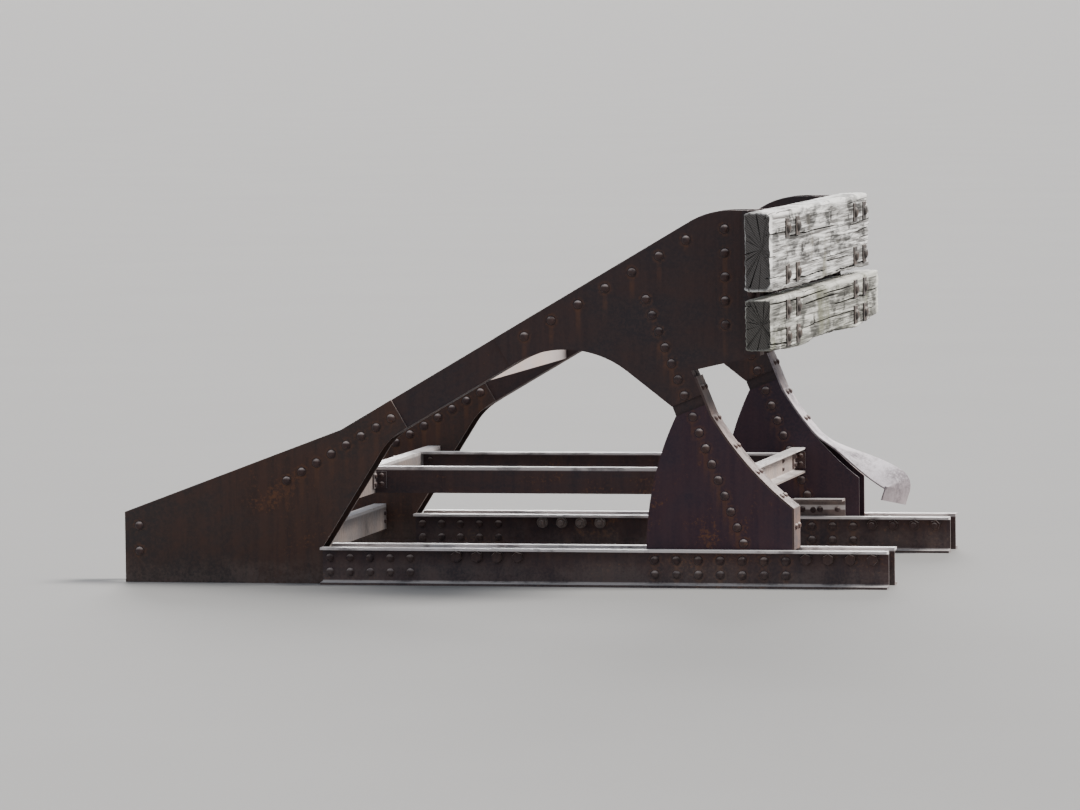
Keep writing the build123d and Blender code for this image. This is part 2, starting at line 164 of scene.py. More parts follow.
class NodeTree:
    # A short way to lay out shader nodes: each call adds one node and returns its output
    def __init__(self, name):
        self.material = bpy.data.materials.new(name)
        self.material.use_nodes = True
        self.tree = self.material.node_tree
        self.shader = self.tree.nodes["Principled BSDF"]
        self.place = self.add("ShaderNodeTexCoord").outputs["Object"]
        self.facing = self.add("ShaderNodeNewGeometry").outputs["Normal"]

    def add(self, kind, **settings):
        made = self.tree.nodes.new(kind)
        for key, value in settings.items():
            setattr(made, key, value)
        return made

    def put(self, value, socket):
        if isinstance(value, bpy.types.NodeSocket):
            self.tree.links.new(value, socket)
        else:
            socket.default_value = value

    def stretch(self, lengths, turn=0.0):
        # Places counted in steps of the given lengths, along axes turned in the side view
        made = self.add("ShaderNodeMapping", vector_type="TEXTURE")
        self.put(self.place, made.inputs["Vector"])
        made.inputs["Rotation"].default_value = (0.0, -turn, 0.0)
        made.inputs["Scale"].default_value = lengths
        return made.outputs["Vector"]

    def vector(self, operation, a, b=(0.0, 0.0, 0.0), output="Vector"):
        made = self.add("ShaderNodeVectorMath", operation=operation)
        self.put(a, made.inputs[0])
        self.put(b, made.inputs["Scale"] if operation == "SCALE" else made.inputs[1])
        return made.outputs[output]

    def noise(self, scale, detail=4.0, rough=0.55, distort=0.0, source=None):
        made = self.add("ShaderNodeTexNoise")
        self.put(source or self.place, made.inputs["Vector"])
        made.inputs["Scale"].default_value = scale
        made.inputs["Detail"].default_value = detail
        made.inputs["Roughness"].default_value = rough
        made.inputs["Distortion"].default_value = distort
        return made.outputs["Fac"]

    def cells(self, scale):
        made = self.add("ShaderNodeTexVoronoi")
        self.put(self.place, made.inputs["Vector"])
        made.inputs["Scale"].default_value = scale
        return made.outputs["Distance"]

    def between(self, value, low, high, to=(0.0, 1.0)):
        made = self.add("ShaderNodeMapRange", interpolation_type="SMOOTHSTEP")
        self.put(value, made.inputs["Value"])
        made.inputs["From Min"].default_value, made.inputs["From Max"].default_value = low, high
        made.inputs["To Min"].default_value, made.inputs["To Max"].default_value = to
        return made.outputs["Result"]

    def maths(self, operation, a, b=0.0):
        made = self.add("ShaderNodeMath", operation=operation)
        self.put(a, made.inputs[0])
        self.put(b, made.inputs[1])
        return made.outputs[0]

    def mix(self, share, a, b):
        made = self.add("ShaderNodeMix", data_type="RGBA")
        self.put(share, made.inputs[0])
        for value, socket in ((a, made.inputs[6]), (b, made.inputs[7])):  # the two colours
            self.put((*value, 1.0) if isinstance(value, tuple) else value, socket)
        return made.outputs[2]

    def axis(self, vector, name):
        made = self.add("ShaderNodeSeparateXYZ")
        self.put(vector, made.inputs[0])
        return made.outputs[name]

    def bump(self, height, distance, strength, normal=None):
        made = self.add("ShaderNodeBump")
        self.put(height, made.inputs["Height"])
        made.inputs["Distance"].default_value = distance
        made.inputs["Strength"].default_value = strength
        if normal:
            self.put(normal, made.inputs["Normal"])
        return made.outputs["Normal"]

    def finish(self, colour, rough, normal, specular, sheen=0.0, sheenRough=0.45):
        self.put(colour, self.shader.inputs["Base Color"])
        self.put(rough, self.shader.inputs["Roughness"])
        self.put(normal, self.shader.inputs["Normal"])
        self.shader.inputs["Specular IOR Level"].default_value = specular
        self.shader.inputs["Sheen Weight"].default_value = sheen
        self.shader.inputs["Sheen Roughness"].default_value = sheenRough
        return self.material


rivetRows = {  # line, first and last place along it, count, place across, outer and inner face
    "gussetOnStrut": ("strut", -0.280, 0.190, 8, -0.060, "plateOut", "channelIn"),
    "headOnStrut": ("strut", 0.790, 1.504, 7, -0.052, "plateOut", "channelIn"),
    "headOnLeg": ("leg", -0.430, -0.045, 7, 0.0, "plateOut", "channelIn"),
    "footOnLeg": ("leg", 0.040, 0.545, 9, 0.0, "plateOut", "channelIn"),
    "lowFootOnSill": ("floor", 2.045, 2.540, 7, 0.045, "sillOut", "plateIn"),
    "highFootOnSill": ("floor", 2.045, 2.540, 7, 0.098, "sillOut", "plateIn"),
    "lowTongueOnSill": ("floor", 0.800, 1.110, 5, 0.045, "sillOut", "plateIn"),
    "highTongueOnSill": ("floor", 0.800, 1.110, 5, 0.098, "sillOut", "plateIn"),
}
rivetPosts = {  # upright rows: along, lowest and highest place, count, outer and inner face
    "headFold": (2.320, 0.975, 1.330, 5, "plateOut", "foldIn"),
    "headAngle": (2.421, 0.915, 1.355, 6, "angleOut", "plateIn"),
    "tailFold": (0.056, 0.118, 0.214, 2, "plateOut", "foldIn"),
}

settledRust = {  # what a finish has where it gives nothing of its own
    # dark: old scale and tar, rust: settled, bright: fresh, splash: low down; on tops: pale dust,
    # which also stands in as painted highlight where light falls on them
    "dark": (0.032, 0.024, 0.027), "rust": (0.063, 0.037, 0.034), "bright": (0.144, 0.065, 0.036),
    "dustAndHighlight": (0.620, 0.540, 0.510), "splash": (0.240, 0.210, 0.190),
    # rusty and fresh: where each kind of rust sets in, so a lower number gives more of it; patch:
    # size of the patches, flake: depth of the scale, both in metres; sheen: fine bloom
    "rusty": 0.50, "fresh": 0.64, "patch": 0.18, "flake": 0.0007, "sheen": 0.15,
    # rolled: lengths of the marks that the mill left, slope: the way they run, streaks: lengths
    # of the run-off; grain, scales and broad: how many of each to a metre
    "rolled": (0.90, 0.035, 0.035), "slope": 0.0, "streaks": (0.029, 0.029, 0.45),
    "grain": 95.0, "scales": 52.0, "broad": 1.7,
    # stained: rows of rivets that rust runs from, redSpot: middle and reach of a redder place,
    # heights of the flanges' upper edges, where a pale band is painted as highlight, trodden: how much
    # smoother tops are
    "stained": (), "redSpot": None, "highlightRims": (), "trodden": 0.0,
}
steelFinishes = {
    "gussetSteel": {
        "stained": ("gussetOnStrut", "tailFold"), "redSpot": ((tailX + 0.60, 0.20), 0.34),
        "rolled": (0.5, 0.3, 0.08), "slope": lines["strut"][1],
        "dark": (0.038, 0.029, 0.028), "rust": (0.080, 0.043, 0.033),
    },
    "headSteel": {
        "stained": ("headOnStrut", "headOnLeg", "headFold", "headAngle"), "rolled": (0.4, 0.3, 0.10),
    },
    "footSteel": {
        "stained": ("footOnLeg",), "rolled": (0.10, 0.3, 0.5), "fresh": 0.63,
        "dark": (0.031, 0.020, 0.032), "rust": (0.062, 0.032, 0.040),
    },
    "foldSteel": {"rolled": (0.2, 0.2, 0.2)},
    # The sills' near-white tops and upper edges are largely painted highlight of the sun on them
    "sillSteel": {
        "rusty": 0.47, "fresh": 0.60, "patch": 0.13, "sheen": 0.6, "highlightRims": (0.140, 0.410),
        "trodden": 0.35, "stained": ("lowFootOnSill", "highFootOnSill"),
        "dark": (0.037, 0.027, 0.033), "rust": (0.076, 0.043, 0.040), "bright": (0.166, 0.079, 0.043),
        "dustAndHighlight": (0.720, 0.665, 0.645),
    },
    "strutSteel": {"slope": lines["strut"][1], "patch": 0.13},
    "legSteel": {"slope": lines["leg"][1], "patch": 0.13},
    "angleSteel": {"rolled": (0.035, 0.035, 0.6), "patch": 0.12},
    # Crossbars and foot seats: every tone several times lighter than the other steel, as painted sunlight on
    # them
    "crossbarSteelPaintedLit": {
        "rolled": (0.035, 0.9, 0.035), "rusty": 0.45, "fresh": 0.60, "patch": 0.14, "sheen": 0.6,
        "highlightRims": (0.177, 0.410), "trodden": 0.35,
        "dark": (0.108, 0.086, 0.084), "rust": (0.207, 0.158, 0.142), "bright": (0.297, 0.198, 0.144),
        "dustAndHighlight": (0.720, 0.665, 0.645),
    },
    # Strut crossbar: near-white tones that are painted sunlight on it
    "strutBarSteelPaintedLit": {
        "rolled": (0.035, 0.9, 0.035), "flake": 0.0004, "sheen": 0.5,
        "dark": (0.432, 0.369, 0.356), "rust": (0.522, 0.432, 0.405), "bright": (0.504, 0.369, 0.288),
        "dustAndHighlight": (0.820, 0.770, 0.750),
    },
    "stripSteel": {
        "rusty": 0.45, "fresh": 0.62, "patch": 0.11, "flake": 0.0004,
        "rolled": (0.05, 0.03, 0.30), "slope": 0.4,
        "dark": (0.040, 0.029, 0.033), "rust": (0.090, 0.058, 0.052), "bright": (0.209, 0.115, 0.079),
        "dustAndHighlight": (0.480, 0.430, 0.420),
    },
    # Loose strip: pale lilac tones that are painted sunlight and painted sky reflection on it
    "sprungSteelPaintedLit": {
        "rusty": 0.52, "fresh": 0.64, "patch": 0.11, "flake": 0.0004,
        "rolled": (0.05, 0.03, 0.30), "slope": 0.4,
        "dark": (0.135, 0.113, 0.126), "rust": (0.360, 0.315, 0.330), "bright": (0.387, 0.270, 0.216),
        "dustAndHighlight": (0.760, 0.718, 0.765),
    },
    "fastenerSteel": {
        "rusty": 0.46, "fresh": 0.62, "patch": 0.04, "flake": 0.0003, "rolled": (0.02, 0.02, 0.02),
        "dark": (0.035, 0.024, 0.027), "rust": (0.072, 0.040, 0.035), "bright": (0.144, 0.068, 0.040),
    },
    # One row of sill bolts: light tones that are a painted glint of sun on their heads
    "boltSteelPaintedGlint": {
        "rusty": 0.46, "patch": 0.04, "flake": 0.0003, "rolled": (0.02, 0.02, 0.02), "sheen": 0.5,
        "dark": (0.126, 0.108, 0.104), "rust": (0.225, 0.171, 0.149), "bright": (0.252, 0.144, 0.099),
    },
    "boltSteel": {
        "patch": 0.04, "flake": 0.0003, "rolled": (0.02, 0.02, 0.02),
        "dark": (0.030, 0.027, 0.025), "rust": (0.056, 0.045, 0.039), "bright": (0.101, 0.066, 0.049),
        "dustAndHighlight": (0.380, 0.350, 0.320),
    },
}
nodeFinishes = {  # the finish of a CAD node, by a word in its name; the first that fits counts
    "left_leg_cover": "stripSteel", "right_leg_cover": "sprungSteelPaintedLit", "gusset": "gussetSteel",
    "head_plate": "headSteel", "foot_plate": "footSteel", "diaphragms": "foldSteel",
    "head_angle": "angleSteel", "strut_crossbar": "strutBarSteelPaintedLit", "crossbar": "crossbarSteelPaintedLit",
    "foot_seat": "crossbarSteelPaintedLit", "strut": "strutSteel", "leg": "legSteel", "": "sillSteel",
}


def rowOf(name):
    # First place, direction, spacing and count of a row of rivets in the side view
    if name in rivetRows:
        line, first, last, count, across = rivetRows[name][:5]
        spots = onLine(line, [first, last], across)
    else:
        along, low, high, count = rivetPosts[name][:4]
        spots = onLine("floor", along, [low, high])
    step = (spots[1] - spots[0]) / (count - 1)
    return spots[0], step / np.linalg.norm(step), float(np.linalg.norm(step)), count


stain = {  # about a rivet, each from where there is none of it to where it is full, in metres
    # rim: the reach of a ring of painted shade right round each rivet head
    "ring": (0.034, 0.019), "rim": (0.0205, 0.0165), "runAside": (0.014, 0.004),
    "runStart": (0.004, 0.018), "runEnd": (0.16, 0.02),
}


def rivetStain(tree, name):
    # For a row of rivets: the distance to the nearest one, and a run-off below the one overhead.
    # Number of the rivet = round(s / spacing), kept from 0 to count - 1, with s along the row
    # for the ring. For the run s comes from x alone, or in an upright row it is rounded upwards.
    (x, z), way, spacing, count = rowOf(name)
    offset = tree.vector("MULTIPLY", tree.vector("SUBTRACT", tree.place, (x, 0.0, z)), (1.0, 0.0, 1.0))
    step = (way[0] * spacing, 0.0, way[1] * spacing)

    def fromRivet(measure, rounding):
        number = tree.vector("DOT_PRODUCT", offset, measure, "Value")
        number = tree.maths(rounding, tree.maths("MINIMUM", tree.maths("MAXIMUM", number, 0.0), count - 1.0))
        return tree.vector("SUBTRACT", offset, tree.vector("SCALE", step, number))

    nearest = fromRivet((way[0] / spacing, 0.0, way[1] / spacing), "ROUND")
    if name in rivetPosts:
        above = fromRivet((0.0, 0.0, 1 / step[2]), "CEIL")
    else:
        above = fromRivet((1 / step[0], 0.0, 0.0), "ROUND")
    ring = tree.vector("LENGTH", nearest, output="Value")
    aside = tree.maths("ABSOLUTE", tree.axis(above, "X"))
    below = tree.maths("MULTIPLY", tree.axis(above, "Z"), -1.0)
    run = tree.maths("MULTIPLY", tree.between(aside, *stain["runAside"]),
                     tree.between(below, *stain["runStart"]))
    return ring, tree.maths("MULTIPLY", run, tree.between(below, *stain["runEnd"]))


def rustySteel(name, finish):
    # Three depths of rust in patches and along the mill's rolling marks, run-off streaks, rust
    # stains round rivets with a ring of painted shade close round each head, flaky cut edges, pale
    # dust on what looks up that also stands in as painted highlight, painted highlight along the
    # upper edges of flanges, a splashed foot, and scale that lifts the surface
    tree = NodeTree(name)
    broad = tree.noise(finish["broad"], 3.0, 0.5, 0.4)
    patch = tree.noise(1 / finish["patch"], 9.0, 0.62, 0.35)
    grain = tree.noise(finish["grain"], 5.0, 0.65)
    rolled = tree.noise(1.0, 5.0, 0.62, 0.2, tree.stretch(finish["rolled"], finish["slope"]))
    streak = tree.noise(1.0, 5.0, 0.6, 0.0, tree.stretch(finish["streaks"]))
    scaleCells = tree.cells(finish["scales"])
    worn = tree.mix(0.30, tree.mix(0.40, patch, rolled), broad)
    if finish["redSpot"]:
        (x, z), radius = finish["redSpot"]
        away = tree.vector("SUBTRACT", tree.vector("MULTIPLY", tree.place, (1.0, 0.0, 1.0)), (x, 0.0, z))
        red = tree.between(tree.vector("LENGTH", away, output="Value"), radius, 0.0, (0.0, 0.090))
        worn = tree.maths("ADD", worn, red)
    settled = tree.between(worn, finish["rusty"] - 0.09, finish["rusty"] + 0.07)
    settled = tree.maths("MULTIPLY", settled, tree.between(streak, 0.30, 0.62, (0.35, 1.0)))
    fresh = tree.between(tree.mix(0.35, worn, grain), finish["fresh"] - 0.06, finish["fresh"] + 0.03)
    colour = tree.mix(settled, finish["dark"], finish["rust"])
    colour = tree.mix(tree.between(grain, 0.42, 0.60, (0.0, 0.5)), colour, finish["rust"])
    colour = tree.mix(fresh, colour, finish["bright"])
    for row in finish["stained"]:
        ring, run = rivetStain(tree, row)
        uneven = tree.between(grain, 0.35, 0.6)
        rustRing = tree.maths("MULTIPLY", tree.between(ring, *stain["ring"]), uneven)
        colour = tree.mix(tree.maths("MULTIPLY", rustRing, 0.40), colour, finish["bright"])
        run = tree.maths("MULTIPLY", run, tree.between(patch, 0.38, 0.60, (0.0, 0.45)))
        colour = tree.mix(run, colour, finish["bright"])
        # Painted shade: a dark ring just round each rivet head
        colour = tree.mix(tree.between(ring, *stain["rim"], (0.0, 0.75)), colour, finish["dark"])
    sideways = tree.between(tree.maths("ABSOLUTE", tree.axis(tree.facing, "Y")), 0.5, 0.2, (0.0, 0.45))
    cutEdge = tree.maths("MULTIPLY", sideways, tree.between(patch, 0.40, 0.60))
    colour = tree.mix(cutEdge, colour, finish["bright"])
    # Pale dust on what looks up, lighter than dust alone as painted highlight where light falls on tops
    up = tree.between(tree.axis(tree.facing, "Z"), 0.20, 0.85)
    uneven = tree.mix(0.25, patch, grain)
    topDustAndHighlight = tree.maths("MULTIPLY", up, tree.between(uneven, 0.36, 0.58, (0.15, 0.85)))
    colour = tree.mix(topDustAndHighlight, colour, finish["dustAndHighlight"])
    height = tree.axis(tree.place, "Z")
    # Painted highlight: a pale band along each flange's upper edge
    for top in finish["highlightRims"]:
        off = tree.maths("ABSOLUTE", tree.maths("SUBTRACT", height, top - 0.003))
        rim = tree.between(patch, 0.34, 0.52, (0.35, 0.90))
        rim = tree.maths("MULTIPLY", tree.between(off, 0.012, 0.006), rim)
        colour = tree.mix(rim, colour, finish["dustAndHighlight"])
    ragged = tree.maths("SUBTRACT", height, tree.between(patch, 0.3, 0.7, (0.0, 0.07)))
    splash = tree.maths("MULTIPLY", tree.between(ragged, 0.09, -0.03, (0.0, 0.24)),
                        tree.between(tree.mix(0.5, patch, grain), 0.38, 0.58, (0.25, 1.0)))
    colour = tree.mix(splash, colour, finish["splash"])
    rough = tree.between(worn, 0.35, 0.65, (0.60, 0.88))
    rough = tree.maths("SUBTRACT", rough, tree.maths("MULTIPLY", topDustAndHighlight, finish["trodden"]))
    lift = tree.maths("MULTIPLY", settled, tree.between(scaleCells, 0.1, 0.7, (1.0, 0.3)))
    normal = tree.bump(lift, finish["flake"] * 2.2, 0.8)
    normal = tree.bump(grain, finish["flake"], 0.7, normal)
    normal = tree.bump(broad, 0.010, 0.35, normal)
    return tree.finish(colour, rough, normal, 0.30, finish["sheen"])


steel = {name: rustySteel(name, {**settledRust, **finish}) for name, finish in steelFinishes.items()}
for name, node in nodes.items():
    word = next(word for word in nodeFinishes if word in name)
    node.data.materials.clear()
    node.data.materials.append(steel[nodeFinishes[word]])
print("finishes on", len(nodes), "nodes")


def rivetHead(radius):
    # A round head: its profile's radii and heights are shares of the head's radius
    profile = np.array([(1.0, -0.16), (0.97, 0.20), (0.82, 0.47), (0.55, 0.67), (0.22, 0.77)])
    return turned(radius * profile, 12)


def putRivets(name, shape, spots, axes, seed, slotName):
    return repeated(name, shape, spots, axes, seed, steel["fastenerSteel"])


rivetRadii = {"plate": 0.016, "strip": 0.0125, "cleat": 0.0105}
plateRivet, stripRivet, cleatRivet = (rivetHead(radius) for radius in rivetRadii.values())


def rivetSpots(side, leaf):
    # Both heads of every rivet in one leaf: the rows' places, at y = side (frameY + leaf depth)
    rows = [(onLine(line, np.linspace(a, b, n), across), outer, inner)
            for line, a, b, n, across, outer, inner in rivetRows.values()]
    rows += [(onLine("floor", along, np.linspace(low, high, n)), outer, inner)
             for along, low, high, n, outer, inner in rivetPosts.values()]
    spots, axes = [], []
    for places, outer, inner in rows:
        for depth, facing in ((depths[outer], leaf), (depths[inner], -leaf)):
            y = side * (frameY + leaf * depth)
            spots.append(np.insert(places, 1, y, axis=1))
            axes.append(np.tile([0.0, side * facing, 0.0], (len(places), 1)))
    return np.concatenate(spots), np.concatenate(axes)


coverStrip = {  # on the leg's front edge: ends of its straight part, then places along and up
    "top": -0.095, "bend": 0.060, "forward": 0.060, "sweepMiddle": (2.400, 0.443), "toe": (2.563, 0.290),
    "foot": 0.140, "width": 0.130, "thickness": 0.008, "corner": 0.0025, "first": 0.045, "pitch": 0.128,
    "row": 0.031, "heldLength": {"left": 0.72, "right": 0.37},
}
sprung = {  # the strip that has come away: from which share of the sweep, then how it bends, in degrees
    "share": 0.42, "liftRadius": 0.260, "lift": 20, "free": 0.290, "hookRadius": 0.026, "hook": -78,
    "hookLength": 0.055, "twist": 40, "twistFrom": 0.42, "twistOver": 0.30,
}


def walk(start, runs, step=0.004):
    # A line of the side view in short steps, each along the heading at its middle. A run has a
    # length, the heading it starts with (none to go on as before) and how far it turns.
    headings, steps, heading = [], [], 0.0
    for length, first, turn in runs:
        heading = heading if first is None else first
        count = max(2, round(length / step))
        headings.append(heading + turn * (np.arange(count) + 0.5) / count)
        steps.append(np.full(count, length / count))
        heading += turn
    headings, steps = np.concatenate(headings), np.concatenate(steps)
    moves = steps[:, None] * np.stack([np.cos(headings), np.sin(headings)], -1)
    points = start + np.append([[0.0, 0.0]], np.cumsum(moves, axis=0), axis=0)
    return points, np.append(headings, headings[-1]), np.append(0.0, np.cumsum(steps))


def stripPath(values, loose=None):
    # Straight down the leg, an arc through three points, and straight down at the toe. The
    # arc's centre c solves 2 (q - p) . c = |q|^2 - |p|^2 for two pairs of its points.
    top, bend = onLine("leg", [values["top"], values["bend"]], values["forward"])
    middle, toe = onLine("floor", *values["sweepMiddle"]), onLine("floor", *values["toe"])
    pairs = np.array([middle - bend, toe - bend])
    centre = np.linalg.solve(2 * pairs, [middle @ middle - bend @ bend, toe @ toe - bend @ bend])
    a, b = (math.atan2(*(point - centre)[::-1]) for point in (bend, toe))
    turn = math.remainder(b - a, 2 * math.pi)
    radius = np.linalg.norm(bend - centre)
    first = (np.linalg.norm(bend - top), lines["leg"][1], 0.0)
    begin = a + math.copysign(math.pi / 2, turn)
    if loose is None:
        runs = [first, (radius * abs(turn), begin, turn), (toe[1] - values["foot"], -math.pi / 2, 0.0)]
    else:
        lift, hook = math.radians(loose["lift"]), math.radians(loose["hook"])
        runs = [first, (loose["share"] * radius * abs(turn), begin, loose["share"] * turn),
                (loose["liftRadius"] * lift, None, lift), (loose["free"], None, 0.0),
                (loose["hookRadius"] * abs(hook), None, hook), (loose["hookLength"], None, 0.0)]
    return walk(top, runs)


def sprungStrip(name, side, values, loose):
    # The loose strip twists as it leaves the foot: its section, a flat bar with rounded edges,
    # turns about the walked line, p = line + across (cos f Y + sin f n) + out (cos f n - sin f Y)
    points, headings, far = stripPath(values, loose)
    halfWidth, half, corner = values["width"] / 2, values["thickness"] / 2, values["corner"]
    quarter = np.linspace(0, math.pi / 2, 4)
    angle = np.concatenate([quarter + k * math.pi / 2 for k in range(4)])
    across = corner * np.cos(angle) + (halfWidth - corner) * np.repeat([1, -1, -1, 1], 4)
    out = corner * np.sin(angle) + (half - corner) * np.repeat([1, 1, -1, -1], 4)
    t = np.clip((far - loose["twistFrom"]) / loose["twistOver"], 0, 1)
    f = (math.radians(loose["twist"]) * t * t * (3 - 2 * t))[:, None]
    normal = np.stack([-np.sin(headings), np.zeros(len(far)), np.cos(headings)], -1)[:, None]
    line = np.insert(points, 1, side * frameY, axis=1)[:, None] + half * normal
    alongY = np.cos(f) * across - np.sin(f) * out
    alongNormal = np.sin(f) * across + np.cos(f) * out
    grid = line + alongNormal[..., None] * normal + alongY[..., None] * np.array([0.0, 1.0, 0.0])
    piece = putMesh(name, grid.reshape(-1, 3), tubeQuads(*grid.shape[:2]), tubeEnds(*grid.shape[:2]),
                    steel["sprungSteelPaintedLit"])
    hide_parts("right_leg_cover")


def stripSpots(side, held, values):
    # Two rows of heads as far as the strip is held: line + thickness * outward, at y = +- row
    points, headings, far = stripPath(values)
    at = np.arange(values["first"], held, values["pitch"])
    heading = np.interp(at, far, headings)
    outward = np.stack([-np.sin(heading), np.cos(heading)], -1)
    flat = np.stack([np.interp(at, far, points[:, k]) for k in (0, 1)], -1) + values["thickness"] * outward
    rows = [np.insert(flat, 1, side * frameY + across, axis=1) for across in (values["row"], -values["row"])]
    return np.concatenate(rows), np.tile(np.insert(outward, 1, 0.0, axis=1), (2, 1))


cleat = {"fromHeel": 0.027, "apart": 0.032, "thickness": 0.006}
cleatHeels = [  # along, across from the middle, up, which way its legs point, the web behind it
    (0.869, 0.685, 0.360, -1, -1, 0.006), (2.306, 0.685, 0.360, 1, -1, 0.006),
    (0.644, 0.685, 0.127, -1, -1, 0.006), (0.875, 0.400, 0.360, 1, 1, 0.006),
    (2.300, 0.400, 0.360, -1, 1, 0.006),
]


def cleatSpots(side, values):
    # Two rivets in each leg, with the second head of each on the far face of what it holds;
    # the leg along a side plate has none behind, because that head is between the leaves
    spots, axes = [], []
    for along, across, up, forward, outward, web in cleatHeels:
        for z in (up - values["apart"] / 2, up + values["apart"] / 2):
            x, y = tailX + along, side * across
            near, far = x + forward * values["thickness"], x - forward * web
            legY = y + side * outward * values["fromHeel"]
            spots += [(near, legY, z), (far, legY, z)]
            axes += [(forward, 0, 0), (-forward, 0, 0)]
            legX = x + forward * values["fromHeel"]
            spots.append((legX, y + side * outward * values["thickness"], z))
            axes.append((0, side * outward, 0))
            if outward > 0:
                spots.append((legX, y - side * web, z))
                axes.append((0, -side, 0))
    return np.array(spots), np.array(axes, float)


footSeat = {"along": (2.338, 2.408, 2.478), "up": 0.166, "across": 0.677}

for sideName, side in sides.items():
    for leafName, leaf in leaves.items():
        putRivets(f"{sideName}_{leafName}_rivets", plateRivet, *rivetSpots(side, leaf),
                  31 + 3 * side + leaf, "plate_steel")
    held = coverStrip["heldLength"][sideName]
    putRivets(f"{sideName}_cover_rivets", stripRivet, *stripSpots(side, held, coverStrip),
              41 + side, "strip_steel")
    putRivets(f"{sideName}_cleat_rivets", cleatRivet, *cleatSpots(side, cleat),
              51 + side, "section_steel")
    seat = onLine("floor", footSeat["along"], footSeat["up"])
    seat = np.insert(seat, 1, side * footSeat["across"], axis=1)
    putRivets(f"{sideName}_seat_rivets", stripRivet, seat, np.tile([0.0, -side, 0.0], (len(seat), 1)),
              55 + side, "section_steel")
sprungStrip("right_sprung_cover", sides["right"], coverStrip, sprung)
print("rivets and the sprung strip set")

woodFinishes = {
    # furrow: painted shade deep in the cracks, and the dark of the growth rings, grey, soot and
    # pale: weathered wood, warm: where it is sounder, the end colour: end grain, darkened beyond its
    # weathered grey as painted shade, mossy: where moss sets in, so a lower number gives more of it,
    # crest: height of the upper edge, which the weather has bleached, smooth: below this height the
    # plank kept its skin
    "upperWood": {
        "furrow": (0.014, 0.013, 0.012), "grey": (0.140, 0.135, 0.128), "pale": (0.860, 0.850, 0.825),
        "soot": (0.043, 0.042, 0.040), "warm": (0.216, 0.191, 0.158), "moss": (0.108, 0.119, 0.068),
        "endGrainAndShade": (0.152, 0.138, 0.130), "mossy": 0.78, "crest": 1.404, "smooth": 1.200,
    },
    "lowerWood": {
        "furrow": (0.014, 0.013, 0.011), "grey": (0.119, 0.117, 0.105), "pale": (0.640, 0.632, 0.580),
        "soot": (0.054, 0.053, 0.048), "warm": (0.194, 0.176, 0.144), "moss": (0.144, 0.153, 0.097),
        "endGrainAndShade": (0.144, 0.131, 0.119), "mossy": 0.68, "crest": 1.087, "smooth": 0.880,
    },
}
woodGrain = {  # lengths of the marks, which run with the beam
    "fibre": (0.0083, 0.31, 0.0083), "band": (0.038, 0.91, 0.038), "worn": (0.070, 0.21, 0.070),
}
growthRings = {"Scale": 46.0, "Distortion": 2.2, "Detail": 3.0, "Detail Scale": 3.0}
bleachedTips = (1.13, 1.18)  # from here to here the beam's ends turn pale


